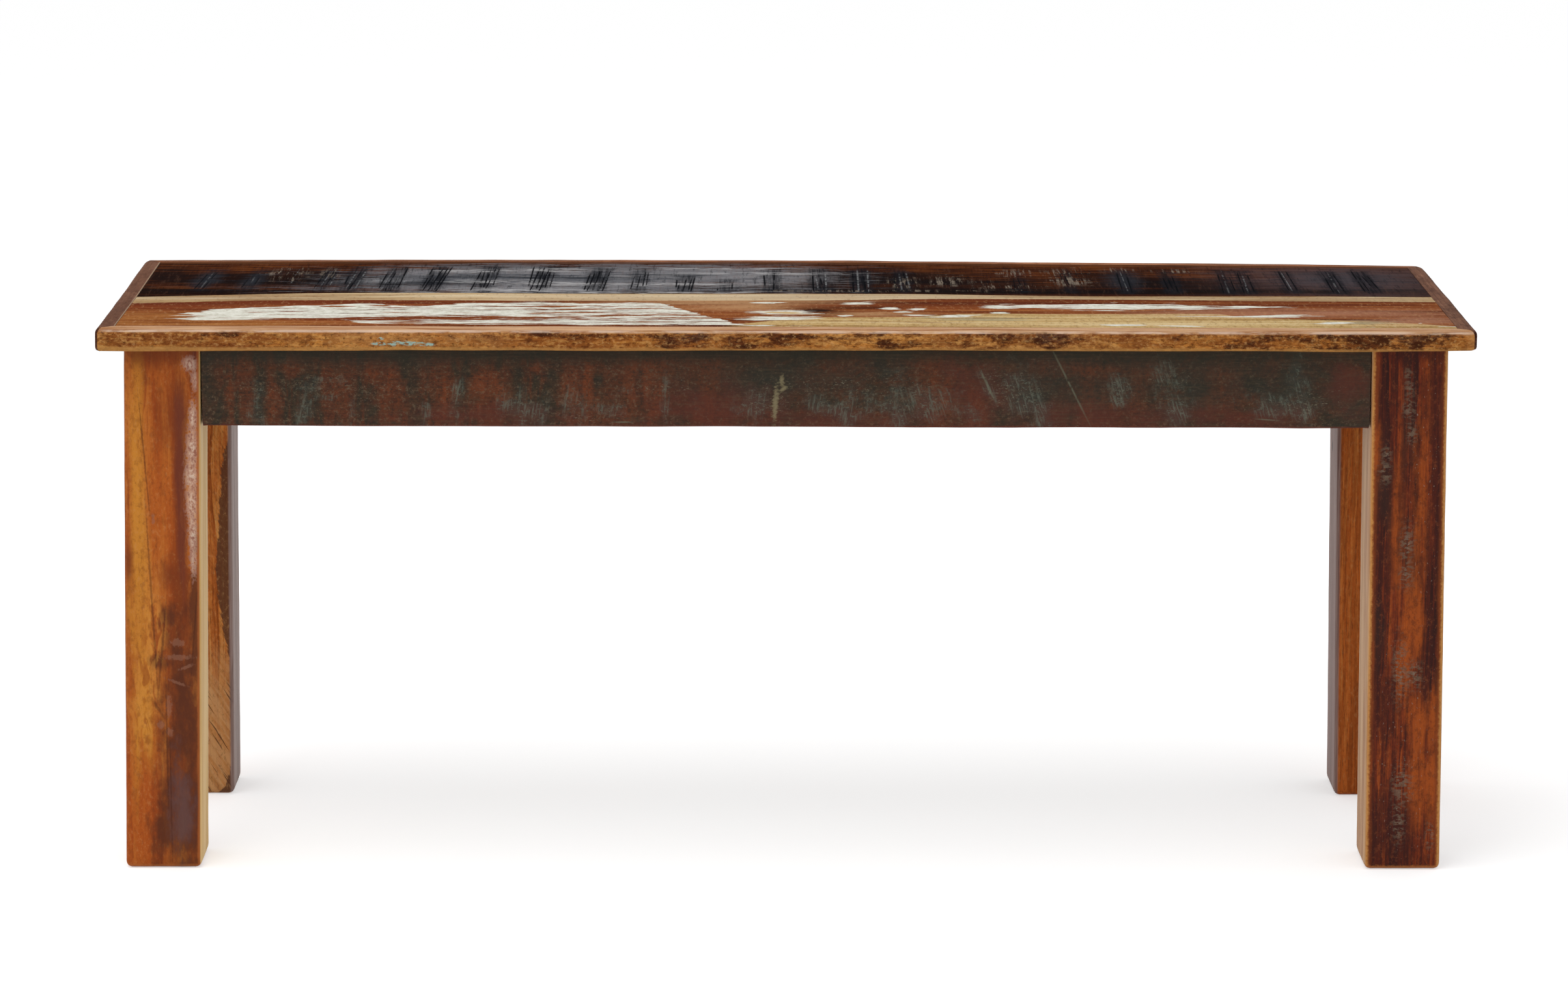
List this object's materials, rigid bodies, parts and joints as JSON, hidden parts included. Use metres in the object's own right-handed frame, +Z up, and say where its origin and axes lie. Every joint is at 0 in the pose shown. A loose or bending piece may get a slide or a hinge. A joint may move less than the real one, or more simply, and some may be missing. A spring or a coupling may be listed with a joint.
{
  "type": "wooden bench",
  "caption": "Low backless wooden bench of reclaimed boards: mitred edging round a boarded seat, square legs and tenoned aprons.",
  "frame": {"origin": "on the floor under the middle of the seat", "axes": "+X along the bench to the viewer's right, the front faces -Y, +Z up"},
  "size_m": [1.1, 0.35, 0.45],
  "materials": {
    "board_front_wood": "reclaimed board, pale sapwood edge and flaking cream paint over red-brown, satin wax",
    "board_rear_wood": "reclaimed board, dark brown to grey with saw marks, satin wax",
    "edging_front_wood": "amber hardwood with dark stains and worn arrises, satin wax",
    "edging_rear_wood": "red-brown hardwood, satin wax",
    "edging_end_wood": "red-brown hardwood, satin wax",
    "leg_front_left_wood": "orange-brown hardwood with a worn paint edge, satin wax",
    "leg_front_right_wood": "dark red-brown hardwood with orange streaks and old paint, satin wax",
    "leg_rear_left_wood": "golden-brown hardwood with dark paint remnants, satin wax",
    "leg_rear_right_wood": "golden-brown hardwood, satin wax",
    "apron_front_paint": "old dark green-black paint worn through to red-brown wood, satin wax",
    "apron_paint": "old dark paint worn through to brown wood, satin wax",
    "inner_timber": "plain sawn hardwood, unfinished",
    "screw_steel": "zinc plated, slightly dulled"
  },
  "bodies": {
    "root": {"seat_board_front": "board_front_wood", "seat_board_rear": "board_rear_wood", "edging_front": "edging_front_wood", "edging_rear": "edging_rear_wood", "edging_left": "edging_end_wood", "edging_right": "edging_end_wood", "leg_front_left": "leg_front_left_wood", "leg_front_right": "leg_front_right_wood", "leg_rear_left": "leg_rear_left_wood", "leg_rear_right": "leg_rear_right_wood", "apron_front": "apron_front_paint", "apron_rear": "apron_paint", "apron_left": "apron_paint", "apron_right": "apron_paint", "corner_block_front_left": "inner_timber", "corner_block_front_right": "inner_timber", "corner_block_rear_left": "inner_timber", "corner_block_rear_right": "inner_timber", "centre_bearer": "inner_timber", "seat_joint_keys": "inner_timber", "corner_block_screws": "screw_steel", "leg_screws": "screw_steel", "bearer_screws": "screw_steel"}
  },
  "joints": []
}
